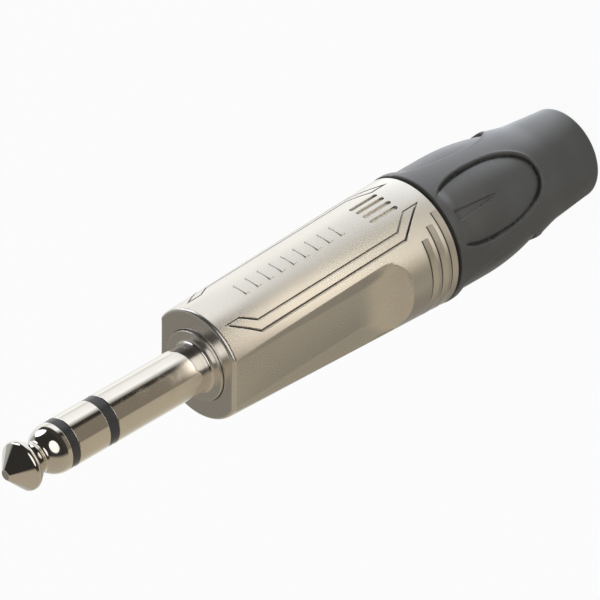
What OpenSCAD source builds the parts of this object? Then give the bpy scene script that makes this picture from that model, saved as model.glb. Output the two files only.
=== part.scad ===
// Three-contact jack plug for a cable, standing on the cable end of its bend relief.
// Distances named "at" run along the axis from the nose of the tip towards the cable.

/* [Contact shaft] */
// Diameter of the contact shaft
shaft_d = 6.35; // [6.2:0.05:6.5]
// Length of the shaft in front of the shell
shaft_len = 31.2; // [29:0.1:34]
// Length of the tip contact
tip_len = 8; // [7.8:0.1:9]
// Length of the insulating band behind the tip
front_band_len = 1.2; // [0.8:0.1:1.6]
// Length of the ring contact
ring_len = 4.9; // [4:0.1:5.5]
// Length of the insulating band behind the ring
rear_band_len = 1.45; // [0.8:0.05:1.6]
// Depth of the bands below the metal
band_recess = 0.05; // [0:0.01:0.1]
// Bevel on the edges of the ring and the sleeve
contact_bevel = 0.1; // [0.05:0.01:0.2]

/* [Tip] */
// Radius of the flat nose
nose_r = 0.8; // [0.5:0.1:1]
// Angle between the front cone and the axis
front_cone_angle = 44; // [40:1:50]
// Rounding of the crown
crown_round = 0.5; // [0.3:0.1:0.6]
// Angle between the crown's rear flank and the axis
rear_flank_angle = 35; // [32:1:42]
// Radius of the neck where a socket's spring rests
neck_r = 2; // [1.9:0.1:2.3]
// Rounding at the bottom of the neck
neck_round = 0.6; // [0.4:0.1:0.8]
// Angle between the front of the shoulder and the axis
shoulder_angle = 40; // [36:1:46]
// Rounding of the shoulder
shoulder_round = 1.6; // [1:0.1:1.8]

/* [Inner stack] */
// Radius of the tip's rod
rod_r = 1; // [0.9:0.05:1.1]
// Wall of both insulating tubes
insulation_wall = 0.43; // [0.35:0.01:0.45]
// Wall of the ring contact's tube
ring_wall = 0.48; // [0.4:0.01:0.5]
// Radial clearance between pieces pressed together
seat_gap = 0.02; // [0.01:0.01:0.04]
// Rounding between the sleeve and its collar
collar_fillet = 1.2; // [0.3:0.1:1.3]
// Radius of the sleeve's collar in the mouth of the shell
collar_r = 4.6; // [4.4:0.05:4.8]
// Height of the collar in front of the shell
collar_proud = 0.4; // [0.2:0.05:0.6]
// Length of the sleeve's flange behind the shell's front wall
flange_len = 1.8; // [1.2:0.1:2.4]
// Radius of the spigot that carries the sleeve terminal
spigot_r = 3.3; // [3.2:0.05:3.4]
// Length of each riveted head
head_len = 0.3; // [0.2:0.05:0.4]
// Overhang of each riveted head past its tube
head_lip = 0.3; // [0.2:0.05:0.4]

/* [Terminals] */
// Thickness of the terminal sheet
sheet = 0.6; // [0.4:0.05:0.7]
// Thickness of the insulating washers
washer_len = 1; // [0.8:0.1:1.3]
// Outer radius of the washer in front of the ring terminal
ring_washer_r = 3.75; // [3.6:0.05:3.8]
// Outer radius of the washer in front of the tip terminal
tip_washer_r = 2.8; // [2.6:0.05:2.85]
// Distance from the axis to the inner face of the sleeve terminal's lug
sleeve_lug_at = 3.9; // [3.85:0.05:3.95]
// Distance from the axis to the inner face of the other two lugs
side_lug_at = 2.95; // [2.9:0.05:3.1]
// Width of the lugs
lug_w = 2.2; // [1.8:0.1:2.4]
// Length of the sleeve terminal's lug
sleeve_lug_len = 13.5; // [11:0.5:15]
// Length of the other two lugs
side_lug_len = 9; // [8:0.5:11]
// Radius of the wire holes in the lugs
wire_hole_r = 0.6; // [0.4:0.1:0.8]
// Distance from the end of a lug to its wire hole
wire_hole_at = 1.6; // [1.4:0.1:2]

/* [Shell] */
// Length of the shell
shell_len = 36; // [35:0.1:38]
// Radius of the shell at its front
front_r = 7.28; // [7.2:0.02:7.5]
// Radius of the shell at its rear
rear_r = 8.5; // [8.4:0.02:8.8]
// Rounding of the front edge
front_round = 0.5; // [0.2:0.1:0.8]
// Bevel of the rear edge
rear_bevel = 0.15; // [0.1:0.05:0.3]
// Thickness of the front wall
front_wall = 2; // [1.6:0.1:2.4]
// Radial gap between the collar and the mouth of the shell
mouth_gap = 0.1; // [0.05:0.01:0.15]
// Radius of the cavity for the contacts and the chuck
cavity_r = 5.6; // [5.55:0.01:5.65]
// Radius of the threaded bore at the rear
thread_bore_r = 7; // [6.9:0.02:7.1]
// Depth of the threaded bore
thread_bore_len = 7; // [6.4:0.1:7.4]
// Width of the two keys in the cavity
key_w = 1.4; // [1:0.1:1.8]
// Height of the keys above the cavity's wall
key_h = 0.4; // [0.3:0.02:0.44]
// Length of the keys
key_len = 26; // [20:0.5:26.5]

/* [Grips] */
// Length of the hollow grips on both sides
grip_len = 28.4; // [24:0.1:28.8]
// Distance from the axis to the middle of a grip at its front
grip_front = 6.3; // [6.2:0.01:6.5]
// Distance from the axis to the middle of a grip where its run-out starts
grip_rear = 6.5; // [6.3:0.01:6.9]
// Radius of the slow curve across a grip
grip_curve_r = 40; // [16:0.5:60]
// Length of the run-out at the rear of a grip
runout_len = 12; // [8:0.1:14]
// Radius of the run-out along the plug
runout_r = 40; // [30:1:60]
// Depth that the run-out starts below the grip
runout_dip = 0.45; // [0.1:0.05:0.6]
// Half width of a grip's outline at its rear
grip_half_w = 5.3; // [4.8:0.1:5.6]
// Rounding of the outline's rear corners
grip_round = 1.4; // [0.8:0.1:2]

/* [Engraving] */
// Width of the engraved outline
line_w = 0.28; // [0.2:0.02:0.4]
// Depth of the engraved outline
line_depth = 0.25; // [0.1:0.01:0.3]
// Length of the outline's long straight sides
line_len = 23.5; // [20:0.1:24]
// Distance from the shell's front to the long side
line_at = 5.8; // [5.4:0.1:6.4]
// Distance from the panel's middle to the outline's inner side
line_inner = 4.4; // [4.2:0.05:4.6]
// Distance from the panel's middle to the outline's outer side
line_outer = 5.42; // [5.2:0.02:5.5]
// Length of the outline's front tail
front_tail = 2.1; // [1.6:0.1:2.6]
// Length of the slant between the front tail and the long side
front_slant = 2; // [1.6:0.1:2.4]
// Length of the slant between the long side and the rear tail
rear_slant = 2.7; // [2.2:0.1:3]
// Length of the outline's rear tail
rear_tail = 2.2; // [1.8:0.1:2.6]
// Distance that the outer side starts ahead of the inner one and ends behind it
outer_lead = 0.4; // [0.2:0.1:0.6]
// Distance that the front corner between tail and outer side stays in from the inner side
heel = 0.25; // [0.1:0.05:0.5]
// Inward jog of the outline at its front
front_jog = 1.2; // [0.8:0.05:1.4]
// Inward jog of the outline at its rear
rear_jog = 1.7; // [1.2:0.05:1.9]
// Width of the lengthwise slots near the rear
slot_w = 0.55; // [0.4:0.05:0.6]
// Depth of the lengthwise slots
slot_depth = 0.3; // [0.2:0.02:0.4]
// Length of the lengthwise slots
slot_len = 4.6; // [3:0.1:5]
// Number of lengthwise slots on each panel
slot_count = 4; // [2:1:5]
// Distance between neighbouring slots
slot_pitch = 1.15; // [1:0.05:1.2]
// Distance from the shell's front to the slots
slot_at = 27.3; // [26.5:0.1:28]
// Height of the raised ribs in the middle of each panel
rib_h = 0.12; // [0.08:0.01:0.2]
// Width of one rib along the plug
rib_w = 0.7; // [0.5:0.05:0.9]
// Length of one rib across the panel
rib_len = 2.3; // [1.8:0.1:3]
// Number of ribs on each panel
rib_count = 9; // [6:1:9]
// Distance between neighbouring ribs
rib_pitch = 2; // [1.4:0.1:2.1]
// Distance from the shell's front to the first rib
rib_at = 7; // [6:0.1:8]

/* [Rear grooves] */
// Distance from the shell's front to the first groove
groove_at = 31.55; // [31.3:0.05:31.8]
// Distance between neighbouring grooves
groove_pitch = 1.6; // [1.3:0.05:1.7]
// Number of grooves on each side
groove_count = 3; // [1:1:3]
// Depth of a groove at its steep front wall
groove_depth = 0.26; // [0.15:0.01:0.35]
// Length of the ramp behind the steep wall
groove_ramp = 0.95; // [0.6:0.05:1.2]
// Half angle that the first groove reaches round the side
groove_angle = 41.5; // [36:0.5:43]
// Extra half angle of each following groove
groove_step = 8.4; // [5:0.2:9]

/* [Chuck] */
// Radial clearance between the chuck and the cavity
chuck_gap = 0.05; // [0.02:0.01:0.08]
// Axial clearance between the chuck and the flange
chuck_seat = 0.05; // [0.02:0.01:0.1]
// Wall of the chuck's hood over the terminals
hood_wall = 0.8; // [0.75:0.01:0.84]
// Length of the hood
hood_len = 17; // [16:0.1:19]
// Radius of the cable's way through the chuck
jaw_r = 3.9; // [3.7:0.05:4]
// Height of the gripping ridges
ridge_h = 0.6; // [0.4:0.05:0.7]
// Distance between neighbouring gripping ridges
ridge_pitch = 1.6; // [1.4:0.1:2]
// Number of gripping ridges
ridge_count = 4; // [2:1:5]
// Length of the jaws behind the shell's cavity
jaw_reach = 5.3; // [5:0.1:5.5]
// Length of the tapered ends of the jaws
jaw_taper_len = 3.6; // [3:0.1:3.8]
// Depth of the taper
jaw_taper = 0.8; // [0.6:0.05:0.9]
// Width of the slits between the jaws
slit_w = 0.9; // [0.6:0.1:1.2]
// Length of the slits between the jaws
slit_len = 9.5; // [8:0.5:11]
// Clearance between the chuck's keyways and the keys
key_gap = 0.08; // [0.05:0.01:0.1]

/* [Gland nut] */
// Radial clearance of the thread
thread_gap = 0.05; // [0.03:0.01:0.08]
// Length of the gland's thread
thread_len = 6; // [5.5:0.1:6.2]
// Bevel at the start of the thread
thread_bevel = 0.4; // [0.2:0.1:0.5]
// Thickness of the flange between the shell and the boot
rim_len = 0.5; // [0.3:0.05:0.8]
// Depth of the flange's edge below the shell
rim_inset = 0.3; // [0.2:0.05:0.5]
// Clearance between the chuck's taper and the gland's cone
cone_gap = 0.1; // [0.08:0.01:0.12]
// Radius of the cable's way through the gland
gland_bore_r = 4.1; // [4:0.05:4.3]
// Outer radius of the tube inside the boot
tube_r = 6.1; // [5.9:0.05:6.2]
// Length of the tube inside the boot
tube_len = 12; // [10:0.5:13]
// Height of the snap ring at the end of the tube
snap_h = 0.3; // [0.2:0.05:0.4]
// Length of the snap ring
snap_len = 1.4; // [1:0.1:1.8]

/* [Boot] */
// Length of the boot
boot_len = 26.75; // [26:0.05:28]
// Radius of the boot at its front
boot_r = 8.58; // [8.5:0.02:8.7]
// Length of the boot's straight front rim
boot_rim_len = 1.25; // [1:0.05:1.5]
// Length of the boot's swelling body
body_len = 15.2; // [14.8:0.1:15.6]
// Drop of the radius along the body
body_drop = 1.3; // [1.1:0.05:1.4]
// Length of the step behind the body
step_len = 3.2; // [2.8:0.1:3.6]
// Radius behind the step
neck_end_r = 6.56; // [6.45:0.02:6.7]
// Radius of the boot at its cable end
end_r = 5.95; // [5.8:0.05:6.1]
// Rounding of the cable end
end_round = 0.5; // [0.3:0.1:0.8]
// Radius of the cable's way through the boot
outlet_r = 3.9; // [3.8:0.05:4]
// Bevel at the mouth of the cable's way
outlet_bevel = 0.4; // [0.2:0.1:0.6]
// Radial clearance between the gland's tube and the boot
boot_gap = 0.02; // [0.01:0.01:0.04]

/* [Boot pads] */
// Half length of a pad's oval outline
pad_half_len = 8.7; // [8.2:0.1:9]
// Half width of a pad's oval outline
pad_half_w = 4.66; // [4.4:0.02:4.8]
// Distance from the boot's front to the middle of the oval
pad_at = 7.75; // [7.4:0.05:8]
// Power of the oval, 2 for an ellipse and more for a squarer outline
pad_power = 2.5; // [2:0.1:3]
// Drop from the boot's front rim to the pad
pad_drop = 0.45; // [0.3:0.05:0.6]
// Length of the slope behind the front rim
pad_slope_len = 1.9; // [1.5:0.1:2.3]
// Length of the straight part of the pad
pad_flat_len = 4.4; // [4:0.1:5]
// Radius of the pad's lengthwise swell
pad_swell_r = 27; // [24:0.5:32]
// Offset of the pad's centre from the axis, which makes it bulge across
pad_bulge = 1.6; // [1:0.1:2]
// Length of the tapered flute in a pad
flute_len = 7.9; // [6:0.1:9]
// Radius of the flute at its wide end
flute_r = 0.75; // [0.5:0.05:1]
// Depth of the flute at its wide end
flute_depth = 0.32; // [0.2:0.02:0.4]

/* [Hidden] */
$fn = 96;
over = 1;
arc_steps = 8;

total_len = shaft_len + shell_len + rim_len + boot_len;
shaft_r = shaft_d / 2;
band_r = shaft_r - band_recess;

// Places of the contacts along the shaft
ring_at = tip_len + front_band_len;
ring_end = ring_at + ring_len;
sleeve_at = ring_end + rear_band_len;

// Radii of the stacked tubes, from the inside out
tip_tube_in = rod_r + seat_gap;
tip_tube_out = tip_tube_in + insulation_wall;
ring_tube_in = tip_tube_out + seat_gap;
ring_tube_out = ring_tube_in + ring_wall;
outer_tube_in = ring_tube_out + seat_gap;
outer_tube_out = outer_tube_in + insulation_wall;
sleeve_bore_r = outer_tube_out + seat_gap;

// Places of the riveted stack behind the shell's front wall
collar_at = shaft_len - collar_proud;
flange_at = shaft_len + front_wall;
flange_end = flange_at + flange_len;
flange_r = cavity_r - chuck_gap;
sleeve_plate_end = flange_end + sheet;
sleeve_head_end = sleeve_plate_end + head_len;
ring_plate_at = sleeve_head_end + washer_len;
ring_plate_end = ring_plate_at + sheet;
ring_head_end = ring_plate_end + head_len;
tip_plate_at = ring_head_end + washer_len;
tip_plate_end = tip_plate_at + sheet;
tip_head_end = tip_plate_end + head_len;

// Places along the shell
shell_end = shaft_len + shell_len;
thread_bore_at = shell_end - thread_bore_len;
grip_end = shaft_len + grip_len;
runout_at = grip_end - runout_len;
grip_tilt = atan((grip_rear - grip_front) / (runout_at - shaft_len));
line_start = shaft_len + line_at;
line_stop = line_start + line_len;
key_in_r = cavity_r - key_h;
keyway_r = key_in_r - key_gap;
keyway_w = key_w + 2 * key_gap;

// Places along the chuck, the gland and the boot
chuck_r = cavity_r - chuck_gap;
chuck_at = flange_end + chuck_seat;
chuck_end = thread_bore_at + jaw_reach;
taper_at = chuck_end - jaw_taper_len;
thread_r = thread_bore_r - thread_gap;
thread_at = shell_end - thread_len;
rim_end = shell_end + rim_len;
tube_end = rim_end + tube_len;
boot_end = rim_end + boot_len;
body_at = rim_end + boot_rim_len;
body_end = body_at + body_len;

function polar(centre, r, angle) = [centre[0] + r * cos(angle), centre[1] + r * sin(angle)];
function arc(centre, r, from, to) =
    [for (i = [0:arc_steps]) polar(centre, r, from + (to - from) * i / arc_steps)];
function shell_r(at) = front_r + (rear_r - front_r) * (at - shaft_len) / shell_len;

// Moves a closed outline's corners sideways by d, keeping its sides parallel
function unit(v) = v / norm(v);
function left(v) = [-v[1], v[0]];
function miter(a, b, d) = (left(a) + left(b)) * d / (1 + a * b);
function shifted(points, d) =
    let (n = len(points))
    [for (i = [0:n - 1])
        let (into = unit(points[i] - points[(i + n - 1) % n]))
        let (out = unit(points[(i + 1) % n] - points[i]))
        points[i] + miter(into, out, d)];

// Turns distances from the nose into heights above the cable end
module from_nose() {
    translate([0, 0, total_len]) mirror([0, 0, 1]) children();
}

// Revolves an outline of [radius, at] points
module turned(points) {
    rotate_extrude() polygon(points);
}

// A plate across the axis with its outline drawn in [across, at], standing out along +X
module sideways(from, to) {
    translate([from, 0, 0]) rotate([90, 0, 90]) linear_extrude(to - from) children();
}

// The same shape on both sides of the plug, along +X and -X
module both_sides() {
    children();
    mirror([1, 0, 0]) children();
}

// The same shape on both panels of the shell, along +Y and -Y
module both_panels() {
    rotate([0, 0, 90]) both_sides() children();
}

// Crown, neck and shoulder of the tip, with each arc tangent to the straight flanks
crown_start = [shaft_r - crown_round * (1 - cos(front_cone_angle)),
    (shaft_r - crown_round * (1 - cos(front_cone_angle)) - nose_r) / tan(front_cone_angle)];
crown_at = crown_start[1] + crown_round * sin(front_cone_angle);
crown_stop = polar([shaft_r - crown_round, crown_at], crown_round, rear_flank_angle);
neck_start_r = neck_r + neck_round * (1 - cos(rear_flank_angle));
neck_start_at = crown_stop[1] + (crown_stop[0] - neck_start_r) / tan(rear_flank_angle);
neck_centre = [neck_r + neck_round, neck_start_at + neck_round * sin(rear_flank_angle)];
neck_stop = polar(neck_centre, neck_round, 180 - shoulder_angle);
shoulder_start_r = shaft_r - shoulder_round * (1 - cos(shoulder_angle));
shoulder_start_at = neck_stop[1] + (shoulder_start_r - neck_stop[0]) / tan(shoulder_angle);
shoulder_centre = [shaft_r - shoulder_round, shoulder_start_at + shoulder_round * sin(shoulder_angle)];

module tip_contact() {
    color([0.82, 0.78, 0.72])
    turned(concat(
        [[0, 0], [nose_r, 0]],
        arc([shaft_r - crown_round, crown_at], crown_round, -front_cone_angle, rear_flank_angle),
        arc(neck_centre, neck_round, 180 + rear_flank_angle, 180 - shoulder_angle),
        arc(shoulder_centre, shoulder_round, -shoulder_angle, 0),
        [[shaft_r, tip_len - contact_bevel], [shaft_r - contact_bevel, tip_len],
            [rod_r, tip_len], [rod_r, tip_plate_end], [rod_r + head_lip, tip_plate_end],
            [rod_r + head_lip, tip_head_end - head_len / 2], [rod_r, tip_head_end], [0, tip_head_end]]));
}

// An insulating collar between two contacts, with its tube towards the cable
module insulator(from, to, tube_in, tube_out, tube_end_at) {
    color([0.13, 0.13, 0.14])
    turned([[tube_in, from], [band_r, from], [band_r, to], [tube_out, to],
        [tube_out, tube_end_at], [tube_in, tube_end_at]]);
}

module tip_insulator() {
    insulator(tip_len, ring_at, tip_tube_in, tip_tube_out, tip_plate_at);
}

module ring_insulator() {
    insulator(ring_end, sleeve_at, outer_tube_in, outer_tube_out, ring_plate_at);
}

module ring_contact() {
    bevelled_r = shaft_r - contact_bevel;
    lip_r = ring_tube_out + head_lip;
    color([0.82, 0.78, 0.72])
    turned([[ring_tube_in, ring_at], [bevelled_r, ring_at], [shaft_r, ring_at + contact_bevel],
        [shaft_r, ring_end - contact_bevel], [bevelled_r, ring_end], [ring_tube_out, ring_end],
        [ring_tube_out, ring_plate_end], [lip_r, ring_plate_end],
        [lip_r, ring_head_end], [ring_tube_in, ring_head_end]]);
}

module sleeve_contact() {
    fillet_centre = [shaft_r + collar_fillet, collar_at - collar_fillet];
    lip_r = spigot_r + head_lip;
    color([0.82, 0.78, 0.72])
    difference() {
        turned(concat(
            [[sleeve_bore_r, sleeve_at], [shaft_r - contact_bevel, sleeve_at],
                [shaft_r, sleeve_at + contact_bevel]],
            arc(fillet_centre, collar_fillet, 180, 90),
            [[collar_r - contact_bevel, collar_at], [collar_r, collar_at + contact_bevel],
                [collar_r, flange_at], [flange_r, flange_at], [flange_r, flange_end],
                [spigot_r, flange_end], [spigot_r, sleeve_plate_end], [lip_r, sleeve_plate_end],
                [lip_r, sleeve_head_end], [sleeve_bore_r, sleeve_head_end]]));
        both_panels() keyway(flange_at - over, flange_end + over);
    }
}

// Clearance round one of the shell's keys, along +X
module keyway(from, to) {
    translate([keyway_r, -keyway_w / 2, from]) cube([key_h + 2 * over, keyway_w, to - from]);
}

// A sheet-metal terminal along +X: a plate riveted at the axis and a lug bent back from it
module terminal(plate_at, hole_r, plate_r, lug_at, lug_len) {
    lug_out = lug_at + sheet;
    color([0.85, 0.8, 0.68])
    difference() {
        union() {
            translate([0, 0, plate_at]) cylinder(r = plate_r, h = sheet);
            translate([0, -lug_w / 2, plate_at]) cube([lug_out, lug_w, sheet]);
            translate([lug_at, -lug_w / 2, plate_at]) cube([sheet, lug_w, lug_len]);
        }
        translate([0, 0, plate_at - over]) cylinder(r = hole_r, h = sheet + 2 * over);
        translate([lug_at - over, 0, plate_at + lug_len - wire_hole_at]) rotate([0, 90, 0])
            cylinder(r = wire_hole_r, h = sheet + 2 * over);
    }
}

module sleeve_terminal() {
    rotate([0, 0, -90])
        terminal(flange_end, spigot_r + seat_gap, sleeve_lug_at + sheet / 2, sleeve_lug_at, sleeve_lug_len);
}

module ring_terminal() {
    terminal(ring_plate_at, ring_tube_out + seat_gap, side_lug_at, side_lug_at, side_lug_len);
}

module tip_terminal() {
    rotate([0, 0, 180])
        terminal(tip_plate_at, rod_r + seat_gap, tip_washer_r, side_lug_at, side_lug_len);
}

// A flat insulating washer
module washer(from, in_r, out_r) {
    color([0.8, 0.76, 0.66])
    turned([[in_r, from], [out_r, from], [out_r, from + washer_len], [in_r, from + washer_len]]);
}

module ring_washer() {
    washer(sleeve_head_end, outer_tube_out + seat_gap, ring_washer_r);
}

module tip_washer() {
    washer(ring_head_end, tip_tube_out + seat_gap, tip_washer_r);
}

module shell_blank() {
    round_centre = [front_r - front_round, shaft_len + front_round];
    mouth_r = collar_r + mouth_gap;
    turned(concat(
        [[mouth_r, shaft_len]],
        arc(round_centre, front_round, -90, 0),
        [[rear_r, shell_end - rear_bevel], [rear_r - rear_bevel, shell_end],
            [thread_bore_r + thread_bevel, shell_end], [thread_bore_r, shell_end - thread_bevel],
            [thread_bore_r, thread_bore_at], [cavity_r, thread_bore_at],
            [cavity_r, flange_at], [mouth_r, flange_at]]));
}

// The outline of a grip, open at the front and with rounded rear corners
module grip_outline() {
    inner_w = grip_half_w - grip_round;
    front = shaft_len - over;
    translate([-grip_half_w, front]) square([2 * grip_half_w, grip_end - grip_round - front]);
    translate([-inner_w, front]) square([2 * inner_w, grip_end - front]);
    for (side = [-1, 1])
        translate([side * inner_w, grip_end - grip_round]) circle(grip_round);
}

// What is milled away over a grip, down to its slow curve and its run-out
module grip_cut() {
    difference() {
        sideways(grip_front - over, rear_r + over) grip_outline();
        translate([grip_front - grip_curve_r, 0, shaft_len]) rotate([0, grip_tilt, 0])
            translate([0, 0, -3 * over]) cylinder(r = grip_curve_r, h = grip_len + 8 * over, $fn = 360);
        difference() {
            translate([0, -rear_r, runout_at]) cube([rear_r + 2 * over, 2 * rear_r, runout_len + over]);
            translate([grip_rear - runout_dip + runout_r, rear_r + over, runout_at]) rotate([90, 0, 0])
                cylinder(r = runout_r, h = 2 * (rear_r + over), $fn = 360);
        }
    }
}

// A thin skin of the shell's cone, depth deep, that limits how deep the lines are cut
module skin(depth) {
    reach = (rear_r - front_r) / shell_len;
    turned([[front_r - depth, shaft_len], [front_r + over, shaft_len],
        [front_r + over + reach * shell_len, shell_end], [rear_r - depth, shell_end]]);
}

// The engraved closed outline on one half of a panel, in [across, at]
line_corners = [
    [line_inner - front_jog, line_start - front_slant - front_tail],
    [line_inner - front_jog, line_start - front_slant],
    [line_inner, line_start],
    [line_inner, line_stop],
    [line_inner - rear_jog, line_stop + rear_slant],
    [line_inner - rear_jog, line_stop + rear_slant + rear_tail],
    [line_outer, line_stop + outer_lead],
    [line_outer, line_start - outer_lead],
    [line_inner - heel, line_start - outer_lead - front_slant - heel]];

module line_outline() {
    difference() {
        polygon(shifted(line_corners, line_w / 2));
        polygon(shifted(line_corners, -line_w / 2));
    }
}

module engraved_lines() {
    intersection() {
        union() {
            sideways(shaft_r, rear_r + over) line_outline();
            mirror([0, 1, 0]) sideways(shaft_r, rear_r + over) line_outline();
        }
        skin(line_depth);
    }
}

// A slot with round ends along the plug
module slot_outline() {
    translate([-slot_w / 2, 0]) square([slot_w, slot_len - slot_w]);
    for (end = [0, 1])
        translate([0, end * (slot_len - slot_w)]) circle(slot_w / 2);
}

module slots() {
    intersection() {
        for (i = [0:slot_count - 1])
            translate([0, (i - (slot_count - 1) / 2) * slot_pitch, shaft_len + slot_at + slot_w / 2])
                sideways(shaft_r, rear_r + over) slot_outline();
        skin(slot_depth);
    }
}

// Raised ribs in the middle of a panel, following the shell's cone
module ribs() {
    last_at = rib_at + (rib_count - 1) * rib_pitch + rib_w;
    intersection() {
        for (i = [0:rib_count - 1])
            translate([shaft_r, -rib_len / 2, shaft_len + rib_at + i * rib_pitch])
                cube([rear_r, rib_len, rib_w]);
        turned([[cavity_r + over, shaft_len], [shell_r(shaft_len) + rib_h, shaft_len],
            [shell_r(shaft_len + last_at + over) + rib_h, shaft_len + last_at + over],
            [cavity_r + over, shaft_len + last_at + over]]);
    }
}

// One saw-tooth groove round the sides of the shell
module rear_groove(at, half_angle) {
    reach = 2 * rear_r;
    intersection() {
        turned([[shell_r(at) - groove_depth, at], [shell_r(at) + over, at],
            [shell_r(at) + over, at + groove_ramp * (1 + over / groove_depth)]]);
        translate([0, 0, at - over]) linear_extrude(groove_ramp * 8)
            polygon([[0, 0], [reach, -reach * tan(half_angle)], [reach, reach * tan(half_angle)]]);
    }
}

module shell() {
    color([0.78, 0.75, 0.7]) {
        difference() {
            union() {
                shell_blank();
                both_panels() ribs();
            }
            both_sides() grip_cut();
            both_panels() engraved_lines();
            both_panels() slots();
            both_sides()
                for (i = [0:groove_count - 1])
                    rear_groove(shaft_len + groove_at + i * groove_pitch, groove_angle + i * groove_step);
        }
        both_panels()
            translate([key_in_r, -key_w / 2, flange_at])
                cube([key_h + thread_gap + chuck_gap, key_w, key_len]);
    }
}

module chuck() {
    ridge_r = jaw_r - ridge_h;
    hood_r = chuck_r - hood_wall;
    hood_end = chuck_at + hood_len;
    cone_end = hood_end + hood_r - jaw_r;
    ridges_at = chuck_end - ridge_count * ridge_pitch;
    color([0.88, 0.87, 0.84])
    difference() {
        union() {
            turned([[hood_r, chuck_at], [chuck_r, chuck_at], [chuck_r, taper_at],
                [chuck_r - jaw_taper, chuck_end], [jaw_r, chuck_end], [jaw_r, cone_end], [hood_r, hood_end]]);
            for (i = [0:ridge_count - 1])
                translate([0, 0, ridges_at + i * ridge_pitch])
                    turned([[jaw_r + seat_gap, 0], [ridge_r, ridge_h], [ridge_r, ridge_h + sheet / 2],
                        [jaw_r + seat_gap, 2 * ridge_h]]);
        }
        both_panels() keyway(chuck_at - over, taper_at);
        for (angle = [0, 90])
            rotate([0, 0, angle]) translate([-cavity_r - over, -slit_w / 2, chuck_end - slit_len])
                cube([2 * (cavity_r + over), slit_w, slit_len + over]);
    }
}

module gland_nut() {
    rim_r = rear_r - rim_inset;
    cone_r = chuck_r + cone_gap;
    cone_slope = jaw_taper / jaw_taper_len;
    seat_end = chuck_end + sheet;
    color([0.12, 0.12, 0.13])
    turned([[cone_r, thread_at], [thread_r - thread_bevel, thread_at],
        [thread_r, thread_at + thread_bevel], [thread_r, shell_end], [rim_r, shell_end],
        [rim_r, rim_end], [tube_r, rim_end], [tube_r, tube_end - snap_len],
        [tube_r + snap_h, tube_end - snap_len], [tube_r, tube_end], [gland_bore_r, tube_end],
        [gland_bore_r, seat_end], [cone_r - cone_slope * (seat_end - taper_at), seat_end],
        [cone_r, taper_at]]);
}

function body_r(at) = boot_r - body_drop * pow((at - body_at) / body_len, 2);

module boot_blank() {
    body_steps = 12;
    step_end = body_end + step_len;
    round_centre = [end_r - end_round, boot_end - end_round];
    socket_r = tube_r + boot_gap;
    turned(concat(
        [[socket_r, rim_end], [boot_r, rim_end]],
        [for (i = [0:body_steps])
            let (at = body_at + body_len * i / body_steps)
            [body_r(at), at]],
        [[neck_end_r, step_end]],
        arc(round_centre, end_round, 0, 90),
        [[outlet_r + outlet_bevel, boot_end], [outlet_r, boot_end - outlet_bevel],
            [outlet_r, tube_end + boot_gap], [socket_r, tube_end + boot_gap],
            [socket_r + snap_h, tube_end - snap_len - boot_gap], [socket_r, tube_end - snap_len - boot_gap]]));
}

// The oval outline of a pad in [across, at]
module pad_outline() {
    steps = 72;
    centre_at = rim_end + pad_at;
    polygon([for (i = [0:steps - 1])
        let (c = cos(360 * i / steps))
        let (s = sin(360 * i / steps))
        [sign(s) * pad_half_w * pow(abs(s), 2 / pad_power),
            centre_at + sign(c) * pad_half_len * pow(abs(c), 2 / pad_power)]]);
}

// The bulging surface that a pad keeps inside its outline, along +X
module pad_body() {
    pad_r = boot_r - pad_drop - pad_bulge;
    slope_end = body_at - rim_len + pad_slope_len;
    flat_end = slope_end + pad_flat_len;
    swell_len = body_end + step_len - flat_end;
    swell_angle = asin(swell_len / pad_swell_r);
    translate([pad_bulge, 0, 0])
        turned(concat(
            [[0, rim_end - over], [boot_r - pad_bulge + over, rim_end - over],
                [boot_r - pad_bulge + over, body_at - rim_len], [boot_r - pad_bulge, body_at - rim_len],
                [pad_r, slope_end]],
            arc([pad_r - pad_swell_r, flat_end], pad_swell_r, 0, swell_angle),
            [[0, flat_end + swell_len]]));
}

// A shallow tapered flute in the middle of a pad, pointing towards the cable
module flute() {
    flute_at = body_at + pad_slope_len / 4;
    surface_r = boot_r - pad_drop;
    translate([surface_r + flute_r - flute_depth, 0, flute_at])
        rotate([0, -atan((flute_r - flute_depth) / flute_len), 0]) {
            cylinder(r1 = flute_r, r2 = seat_gap, h = flute_len);
            sphere(flute_r);
        }
}

module boot() {
    color([0.3, 0.3, 0.31])
    difference() {
        boot_blank();
        for (angle = [45:90:315])
            rotate([0, 0, angle]) {
                difference() {
                    sideways(pad_bulge + over, boot_r + over) pad_outline();
                    pad_body();
                }
                flute();
            }
    }
}

from_nose() tip_contact();
from_nose() tip_insulator();
from_nose() ring_contact();
from_nose() ring_insulator();
from_nose() sleeve_contact();
from_nose() sleeve_terminal();
from_nose() ring_washer();
from_nose() ring_terminal();
from_nose() tip_washer();
from_nose() tip_terminal();
from_nose() shell();
from_nose() chuck();
from_nose() gland_nut();
from_nose() boot();
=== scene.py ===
import math

import bmesh
import bpy
import numpy as np
from mathutils import Matrix, Vector


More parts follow.
